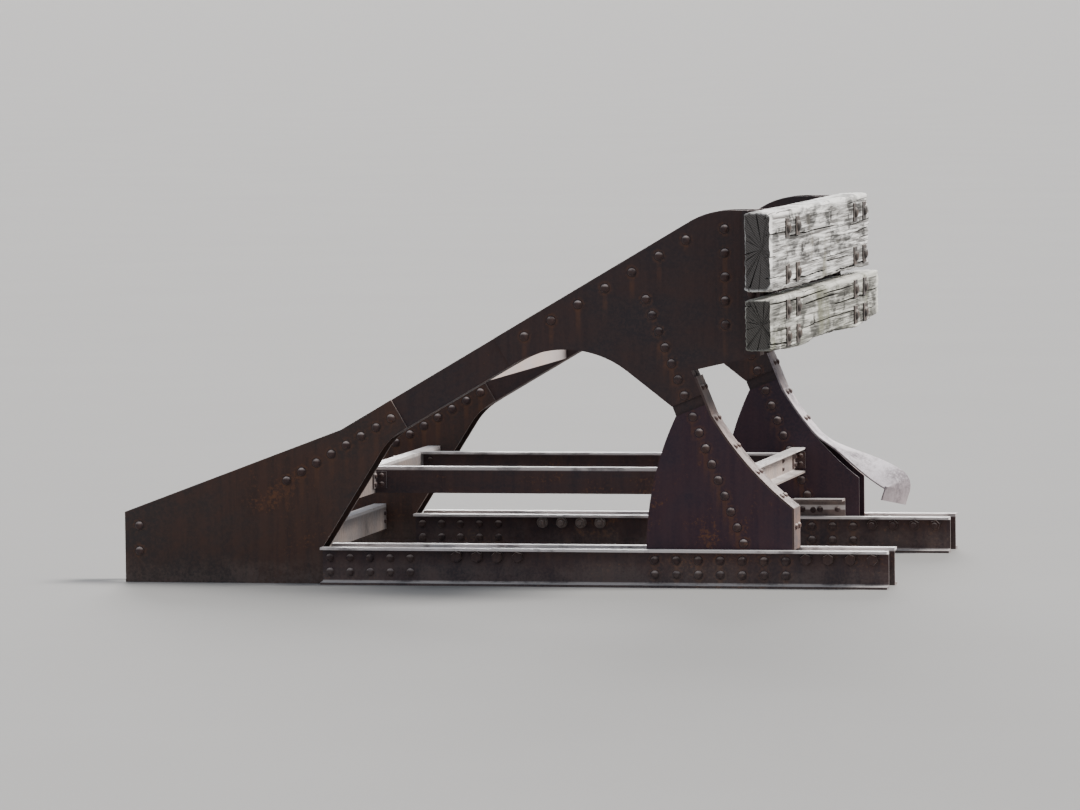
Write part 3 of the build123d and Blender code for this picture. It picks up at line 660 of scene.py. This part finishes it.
def weatheredWood(name, finish):
    # Silver fibres that run with the beam, painted shade in the cracks that the mesh has, deeper
    # ones darker, with patches of soot, warmer sound wood, a bleached crest and tips, moss, and
    # growth rings on ends that are darkened partly as painted shade
    tree = NodeTree(name)
    hollowShadeAndKnots = tree.add("ShaderNodeAttribute", attribute_name="hollowShadeAndKnots").outputs["Fac"]
    sawn = tree.add("ShaderNodeAttribute", attribute_name="sawn").outputs["Fac"]
    fibre = tree.noise(1.0, 6.0, 0.65, 0.25, tree.stretch(woodGrain["fibre"]))
    band = tree.noise(1.0, 4.0, 0.55, 0.6, tree.stretch(woodGrain["band"]))
    worn = tree.noise(1.0, 5.0, 0.6, 0.4, tree.stretch(woodGrain["worn"]))
    blotch = tree.noise(5.0, 6.0, 0.6)
    speck = tree.noise(160.0, 3.0, 0.6)
    colour = tree.mix(tree.between(fibre, 0.38, 0.66), finish["grey"], finish["pale"])
    colour = tree.mix(tree.between(band, 0.52, 0.68, (0.0, 0.6)), colour, finish["grey"])
    height = tree.axis(tree.place, "Z")
    skinless = tree.between(height, finish["smooth"] - 0.02, finish["smooth"] + 0.02, (0.35, 1.0))
    soot = tree.maths("MULTIPLY", tree.between(worn, 0.45, 0.56, (0.0, 0.88)), skinless)
    soot = tree.maths("MULTIPLY", soot, tree.between(fibre, 0.64, 0.44, (0.62, 1.0)))
    colour = tree.mix(soot, colour, finish["soot"])
    colour = tree.mix(tree.between(blotch, 0.56, 0.70, (0.0, 0.5)), colour, finish["warm"])
    crest = tree.maths("ABSOLUTE", tree.maths("SUBTRACT", height, finish["crest"]))
    tips = tree.between(tree.maths("ABSOLUTE", tree.axis(tree.place, "Y")), *bleachedTips)
    bleached = tree.maths("MAXIMUM", tree.between(crest, 0.026, 0.010), tips)
    bleached = tree.maths("MULTIPLY", bleached, tree.between(worn, 0.62, 0.44, (0.2, 0.85)))
    colour = tree.mix(bleached, colour, finish["pale"])
    ring = tree.add("ShaderNodeTexWave", wave_type="RINGS", rings_direction="Y", wave_profile="SAW")
    tree.put(tree.stretch((1.0, 50.0, 1.0)), ring.inputs["Vector"])
    for key, value in growthRings.items():
        ring.inputs[key].default_value = value
    cut = tree.between(ring.outputs["Fac"], 0.1, 0.9, (0.35, 1.0))
    # End grain, darker than weathered wood alone, as painted shade on the ends
    cut = tree.mix(cut, finish["furrow"], finish["endGrainAndShade"])
    cut = tree.mix(tree.between(speck, 0.40, 0.62, (0.0, 0.35)), cut, finish["grey"])
    colour = tree.mix(sawn, colour, cut)
    moss = tree.maths("MULTIPLY", tree.between(blotch, finish["mossy"] - 0.20, finish["mossy"], (0.0, 0.8)),
                      tree.between(tree.mix(0.5, fibre, speck), 0.38, 0.60, (0.15, 1.0)))
    moss = tree.maths("MULTIPLY", moss, tree.between(sawn, 0.5, 0.05))
    colour = tree.mix(moss, colour, finish["moss"])
    # Painted shade: the deeper a crack or splintered pit, the darker; knots darken too
    colour = tree.mix(tree.between(hollowShadeAndKnots, 0.04, 0.55), colour, finish["furrow"])
    normal = tree.bump(fibre, 0.0016, 0.9)
    normal = tree.bump(speck, 0.0006, 0.5, normal)
    return tree.finish(colour, tree.between(fibre, 0.3, 0.7, (0.95, 0.80)), normal, specular=0.15)


timbers = {
    # columns, rows and capRings: the grids of the skin and of each end; arris: rounding of the
    # edges, widest and deepest: the largest crack, all in metres; crackLength: shares of the beam;
    # edge: places along and how far the lower edge has rotted away; breakLine: heights and how
    # far in the end has snapped; knots: y, z and radius
    "upper": {
        "node": "upper_timber", "finish": "upperWood", "seed": 5, "columns": 240, "rows": 280,
        "capRings": 18, "arris": 0.010, "cracks": 34, "crackLength": (0.10, 0.55), "widest": 0.010,
        "deepest": 0.032, "edge": [(0.0, 0.004), (0.3, 0.0), (0.7, 0.006), (1.0, 0.0)],
        "breakLine": [(0.0, 0.020), (0.40, 0.050), (0.55, 0.0), (0.75, 0.035), (1.0, 0.070)],
        "knots": [(0.12, 1.345, 0.026), (0.09, 1.205, 0.015), (-0.52, 1.250, 0.018), (0.62, 1.300, 0.012)],
    },
    "lower": {
        "node": "lower_timber", "finish": "lowerWood", "seed": 8, "columns": 240, "rows": 280,
        "capRings": 18, "arris": 0.013, "cracks": 30, "crackLength": (0.10, 0.55), "widest": 0.009,
        "deepest": 0.030,
        "edge": [(0.0, 0.018), (0.12, 0.006), (0.25, 0.0), (0.42, 0.012), (0.55, 0.014),
                 (0.78, 0.0), (0.92, 0.016), (1.0, 0.030)],
        "breakLine": None,
        "knots": [(-0.28, 0.965, 0.021), (0.41, 1.030, 0.014), (0.95, 0.960, 0.017)],
    },
}
relief = {  # how deep the weather and the saw have worked into the wood, in metres
    "chip": 0.030, "ridge": 0.0016, "dish": 0.0020, "fray": 0.0040, "rot": 0.006,
    "splinters": (0.014, 0.024), "check": 0.009, "gape": 0.020, "saw": 0.0012,
    # shares: how far the grain wanders round the section, and the frayed part of the length
    "wander": (0.010, 0.002), "frayLength": 0.012,
}


def aroundBox(share, halfX, halfZ):
    # The place on a rectangle's outline at a share of its way round, corner by corner
    corners = np.cumsum([0, halfX, halfZ, halfX, halfZ]) / (2 * (halfX + halfZ))
    share = np.mod(share, 1)
    return (np.interp(share, corners, [-halfX, halfX, halfX, -halfX, -halfX]),
            np.interp(share, corners, [-halfZ, -halfZ, halfZ, halfZ, -halfZ]))


def timberGrid(values):
    # The skin of a plank as a grid: rows go along it, columns go round its section and wander
    # with the grain. A crack is one column sunk along the surface normal, its neighbours the
    # crack's half width away:
    #   point = core + normal (radius - depth), where core is the rectangle drawn in by the radius
    rng = np.random.default_rng(values["seed"])
    low, high = (np.array(corner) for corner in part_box(values["node"]))
    centre = (low + high) / 2
    halfX, halfZ = (high[0] - low[0]) / 2, (high[2] - low[2]) / 2
    rows, columns, seed = values["rows"], values["columns"], values["seed"]
    along = np.linspace(0, 1, rows)[:, None]
    column = np.arange(columns)[None]
    spacing = 4 * (halfX + halfZ) / columns

    count = values["cracks"]
    at = rng.choice(columns // 5, count, replace=False) * 5 + rng.integers(0, 2, count)
    middle, length = rng.uniform(0, 1, count), rng.uniform(*values["crackLength"], count)
    atEnd = rng.uniform(0, 1, count)  # nearly half of the cracks start at an end
    middle = np.where(atEnd < 0.22, 0.0, np.where(atEnd > 0.78, 1.0, middle))
    size = rng.uniform(0.25, 1.0, count) ** 1.6
    width, depth = values["widest"] * size, values["deepest"] * size ** 0.8
    gape = np.clip(1 - np.abs((along - middle) / (length / 2)) ** 2.2, 0, 1)  # rows by cracks
    off = np.mod(column - at[:, None] + columns / 2, columns) - columns / 2  # cracks by columns
    push = np.sign(off) * (width[:, None] / 2 / spacing - 1) * np.exp(-(np.abs(off) - 1) / 4)
    sink = (gape * depth) @ (off == 0)
    wander = (relief["wander"][0] * valueNoise(along, 0, (4, 1), seed + 1)
              + relief["wander"][1] * valueNoise(along, 0, (17, 1), seed + 2))
    share = (column + gape @ push) / columns + wander

    px, pz = aroundBox(share, halfX, halfZ)
    chips = np.clip(valueNoise(along, share, (26, 8), seed + 3) - 0.35, 0, 1)
    radius = values["arris"] * (1 + 0.5 * valueNoise(along, share, (9, 4), seed + 4)) + relief["chip"] * chips
    coreX = np.clip(px, radius - halfX, halfX - radius)
    coreZ = np.clip(pz, radius - halfZ, halfZ - radius)
    nx, nz = px - coreX, pz - coreZ
    norm = np.hypot(nx, nz)
    nx, nz = nx / norm, nz / norm
    ridges = 0.5 + 0.5 * valueNoise(along, column / columns, (7, 120), seed + 5)
    broad = 0.5 + 0.5 * valueNoise(along, share, (11, 6), seed + 6)
    fray = np.exp(-along / relief["frayLength"]) + np.exp(-(1 - along) / relief["frayLength"])
    frayed = fray * (0.5 + 0.5 * valueNoise(along, share, (40, 60), seed + 7))
    skin = relief["ridge"] * ridges + relief["dish"] * broad + relief["fray"] * frayed
    reach = radius - skin - sink
    x, z = coreX + nx * reach, coreZ + nz * reach

    edgeAt, edgeUp = np.array(values["edge"]).T
    rot = relief["rot"] * np.abs(valueNoise(along, share, (30, 12), seed + 8))
    z = z + (np.interp(along, edgeAt, edgeUp) + rot) * np.clip((halfZ - z) / (2 * halfZ), 0, 1) ** 4

    start, end = np.full(columns, low[1]), np.full(columns, high[1])
    if values["breakLine"]:
        end = high[1] - breakDepth(values, x[-1], z[-1], halfX, halfZ)
    y = start + (end - start) * along
    # Painted shade by the depth of the cracks and the fine ridges; the knots add their own dark
    hollowShadeAndKnots = np.clip(sink / 0.012, 0, 1) + 0.10 * ridges
    for knotY, knotZ, knotRadius in values["knots"]:
        # A knot stands in a dished ring: exp(-(d/radius)^2) darkens, and (d/radius)^2 of it is sunk
        d = np.hypot(y - knotY, z + centre[2] - knotZ) / knotRadius
        ring = np.exp(-d * d) * (nx > 0.7)
        x = x - 0.006 * ring * (0.3 + d * d)
        hollowShadeAndKnots = hollowShadeAndKnots + 0.75 * ring * (0.6 + 0.4 * valueNoise(along, share, (400, 160), seed + 12))
    return np.stack([x, y, z], -1), hollowShadeAndKnots, gape[[0, -1]] @ (off == 0), centre, (halfX, halfZ)


def breakDepth(values, x, z, halfX, halfZ):
    # How far in from the timber's end the wood has snapped: a line by height, and splinters
    # that are a few fibres thick
    heights, depths = np.array(values["breakLine"]).T
    up = (z + halfZ) / (2 * halfZ)
    inward = (x + halfX) / (2 * halfX)
    fine, coarse = relief["splinters"]
    fibres = valueNoise(up, inward, (52, 9), values["seed"] + 9, wrap=False)
    slivers = valueNoise(up, inward, (17, 3), values["seed"] + 10, wrap=False)
    return np.interp(up, heights, depths) + fine * (1 + fibres) + coarse * (1 + slivers)


def endCap(values, ring, gaping, inward, halves):
    # Rings that shrink from a timber's last row to its pith, sunk along the beam where a check
    # or a crack opens: point = pith + t (rim - pith), t from 1 to 0
    seed, columns = values["seed"] + 40 + 20 * inward, values["columns"]
    rng = np.random.default_rng(seed)
    t = np.linspace(1, 0, values["capRings"] + 1)[1:-1, None]
    pith = np.array([0.35 * halves[0], 0.1 * halves[1]])
    x = pith[0] + t * (ring[None, :, 0] - pith[0])
    z = pith[1] + t * (ring[None, :, 2] - pith[1])
    checks = np.zeros(columns)
    checks[rng.choice(columns // 4, columns // 18, replace=False) * 4] = rng.uniform(0.2, 1, columns // 18)
    sink = relief["check"] * checks * np.sin(math.pi * t) ** 0.6 + relief["gape"] * gaping * t ** 0.5
    rough = relief["saw"] * (1 + valueNoise(t, np.arange(columns) / columns, (8, 60), seed + 1))
    y = ring[None, :, 1] + inward * (sink + rough)
    # Painted shade down the checks, by their depth
    dark, sawn = np.clip(sink / 0.008, 0, 1), 1.0
    if values["breakLine"] and inward < 0:
        deep = breakDepth(values, x, z, *halves)
        y = y + breakDepth(values, ring[:, 0], ring[:, 2], *halves) - deep
        # The snapped end: painted shade, darker the deeper in among the splinters
        dark, sawn = 0.5 * dark + np.clip((deep - 0.035) / 0.10, 0, 0.45), 0.12
    tip = np.array([[pith[0], y[-1].mean(), pith[1]]])
    return np.stack([x, y, z], -1), dark, tip, sawn


def timber(name, values):
    # End, skin and end as one grid, with a fan of triangles from each end's last ring to its pith
    grid, hollowShadeAndKnots, openEnds, centre, halves = timberGrid(values)
    columns = values["columns"]
    leftCap, leftHollow, leftTip, leftSawn = endCap(values, grid[0], openEnds[0], 1, halves)
    rightCap, rightHollow, rightTip, rightSawn = endCap(values, grid[-1], openEnds[1], -1, halves)
    skin = np.concatenate([leftCap[::-1], grid, rightCap])
    dark = np.concatenate([leftHollow[::-1], hollowShadeAndKnots, rightHollow])
    sawn = np.zeros(len(skin))
    sawn[:len(leftCap)], sawn[-len(rightCap):] = leftSawn, rightSawn
    points = np.concatenate([skin.reshape(-1, 3), leftTip, rightTip])
    points[:, [0, 2]] += centre[[0, 2]]
    a, b = np.arange(columns), (np.arange(columns) + 1) % columns
    last = (len(skin) - 1) * columns
    fans = np.concatenate([np.stack([b, a, np.full(columns, len(points) - 2)], -1),
                           np.stack([last + a, last + b, np.full(columns, len(points) - 1)], -1)])
    piece = putMesh(name, points, tubeQuads(len(skin), columns), fans, wood[values["finish"]],
                    60)
    for key, amounts, tips in (("hollowShadeAndKnots", dark, [0.3, 0.3]),
                               ("sawn", np.repeat(sawn[:, None], columns, 1), [leftSawn, rightSawn])):
        stored = piece.data.attributes.new(key, "FLOAT", "POINT")
        stored.data.foreach_set("value", np.append(amounts.ravel(), tips).astype(np.float32))
    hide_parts(values["node"])


wood = {name: weatheredWood(name, finish) for name, finish in woodFinishes.items()}
for name, values in timbers.items():
    timber(f"{name}_beam_timber", values)
print("timbers grown")

hexRadius = 0.036 / 2 / math.cos(math.pi / 6)  # 36 mm across the flats
boltProfiles = {  # sides, then radius and height above the steel from the foot up
    "washers": (20, [(0.0230, -0.0010), (0.0230, 0.0034), (0.0218, 0.0040)]),
    "hexes": (6, [(hexRadius, 0.0030), (hexRadius, 0.0165), (hexRadius * 0.93, 0.0190)]),
    "thread_ends": (12, [(0.0105, 0.0100), (0.0105, 0.0290), (0.0090, 0.0310)]),
    "plates": (4, [(0.0500, -0.0010), (0.0500, 0.0060), (0.0480, 0.0070)]),
    "heads": (14, [(0.0210, 0.0040), (0.0205, 0.0100), (0.0160, 0.0155), (0.0080, 0.0185)]),
}
boltShapes = {kind: turned(profile, around) for kind, (around, profile) in boltProfiles.items()}
sillBolts = {  # up: their height, then each row's centre, pitch and count, and the row whose heads carry a painted glint
    "up": 0.107, "middle": (1.407, 0.078, 4), "front": (2.7415, 0.083, 4), "pale": ("right", "middle"),
}
beamBolts = {  # aside: from a frame's middle, sunk: behind the angle's back and the timber's face
    "heights": [0.935, 1.035, 1.165, 1.335], "aside": 0.107, "nutSunk": 0.010, "headSunk": 0.004,
}


def boltSet(name, kinds, spots, facing, seed, finish="fastenerSteel", roll=None):
    # Every part of a bolt is a piece of its own, set at the same spots and facing the same way
    axes = np.tile(facing, (len(spots), 1))
    for kind in kinds:
        repeated(f"{name}_{kind}", boltShapes[kind], spots, axes, seed, steel[finish],
                 0.02, 25, roll)


for sideName, side in sides.items():
    for leafName, leaf in leaves.items():
        y = side * (frameY + leaf * depths["sillOut"])
        kinds = ["washers", "hexes"] + (["thread_ends"] if leaf < 0 else [])
        for rowName in ("middle", "front"):
            finish = "boltSteelPaintedGlint" if (sideName, rowName) == sillBolts["pale"] else "fastenerSteel"
            centre, pitch, count = sillBolts[rowName]
            along = centre + pitch * (np.arange(count) - (count - 1) / 2)
            spots = np.insert(onLine("floor", along, sillBolts["up"]), 1, y, axis=1)
            boltSet(f"{sideName}_{leafName}_{rowName}_bolt", kinds, spots, [0.0, side * leaf, 0.0],
                    60 + side + 3 * leaf, finish)
    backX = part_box(f"{sideName}_head_angle_outer")[1].x - beamBolts["nutSunk"]
    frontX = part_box("upper_timber")[1].x - beamBolts["headSunk"]
    ys = [side * (frameY + leaf * beamBolts["aside"]) for leaf in leaves.values()]
    grid = np.array([(y, z) for y in ys for z in beamBolts["heights"]])
    boltSet(f"{sideName}_beam_nut", ["washers", "hexes", "thread_ends"], np.insert(grid, 0, backX, axis=1),
            [-1.0, 0.0, 0.0], 70 + side)
    boltSet(f"{sideName}_beam_bolt", ["plates", "heads"], np.insert(grid, 0, frontX, axis=1),
            [1.0, 0.0, 0.0], 80 + side, "boltSteel", math.pi / 4)
print("bolts set")

ground = {"size": 4000.0, "patches": 0.6, "dark": (0.305, 0.302, 0.297), "pale": (0.330, 0.327, 0.322)}
half = ground["size"] / 2
floorMesh = bpy.data.meshes.new("floor")
floorMesh.from_pydata([(-half, -half, 0), (half, -half, 0), (half, half, 0), (-half, half, 0)],
                      [], [(0, 1, 2, 3)])
floor = bpy.data.objects.new("floor", floorMesh)
bpy.context.scene.collection.objects.link(floor)
paint = NodeTree("paleFloor")
tone = paint.mix(paint.noise(ground["patches"]), ground["dark"], ground["pale"])
floorMesh.materials.append(paint.finish(tone, 0.9, paint.facing, specular=0.1))

lamps = {  # place that it shines from to the origin, power, softness in degrees, colour
    "key": ((9.0, 1.6, 8.0), 6.8, 20, (1.0, 0.965, 0.92)),
    "fill": ((-3.0, -9.0, 5.0), 0.42, 60, (0.88, 0.93, 1.0)),
    "rim": ((-2.2, 10.0, 2.4), 3.2, 25, (1.0, 0.97, 0.96)),
}
for name, (place, power, spread, colour) in lamps.items():
    data = bpy.data.lights.new(name, "SUN")
    data.angle, data.energy, data.color = math.radians(spread), power, colour
    lamp = bpy.data.objects.new(name, data)
    lamp.location = place
    lamp.rotation_euler = (-Vector(place)).to_track_quat("-Z", "Y").to_euler()
    bpy.context.scene.collection.objects.link(lamp)

studio = {"colour": (0.82, 0.88, 1.0, 1.0), "strength": 0.39}  # the even light from all round
world = bpy.data.worlds.new("studio")
world.use_nodes = True
sky = world.node_tree.nodes["Background"]
sky.inputs["Color"].default_value = studio["colour"]
sky.inputs["Strength"].default_value = studio["strength"]
bpy.context.scene.world = world

# The camera stands where the photograph was taken from, turned to the object and tilted, in
# degrees, as the photograph is
view = {"place": (5.235, -23.91, 2.25), "aim": (-0.028, 0.0, 0.62), "lens": 212, "tilt": -0.68, "near": 0.5}
camera = bpy.data.objects.new("camera", bpy.data.cameras.new("camera"))
bpy.context.scene.collection.objects.link(camera)
camera.location = view["place"]
camera.rotation_euler = (Vector(view["aim"]) - camera.location).to_track_quat("-Z", "Y").to_euler()
camera.rotation_euler.rotate_axis("Z", math.radians(view["tilt"]))
camera.data.lens = view["lens"]
camera.data.clip_start, camera.data.clip_end = view["near"], ground["size"]
bpy.context.scene.camera = camera
print("floor, lights and camera placed")
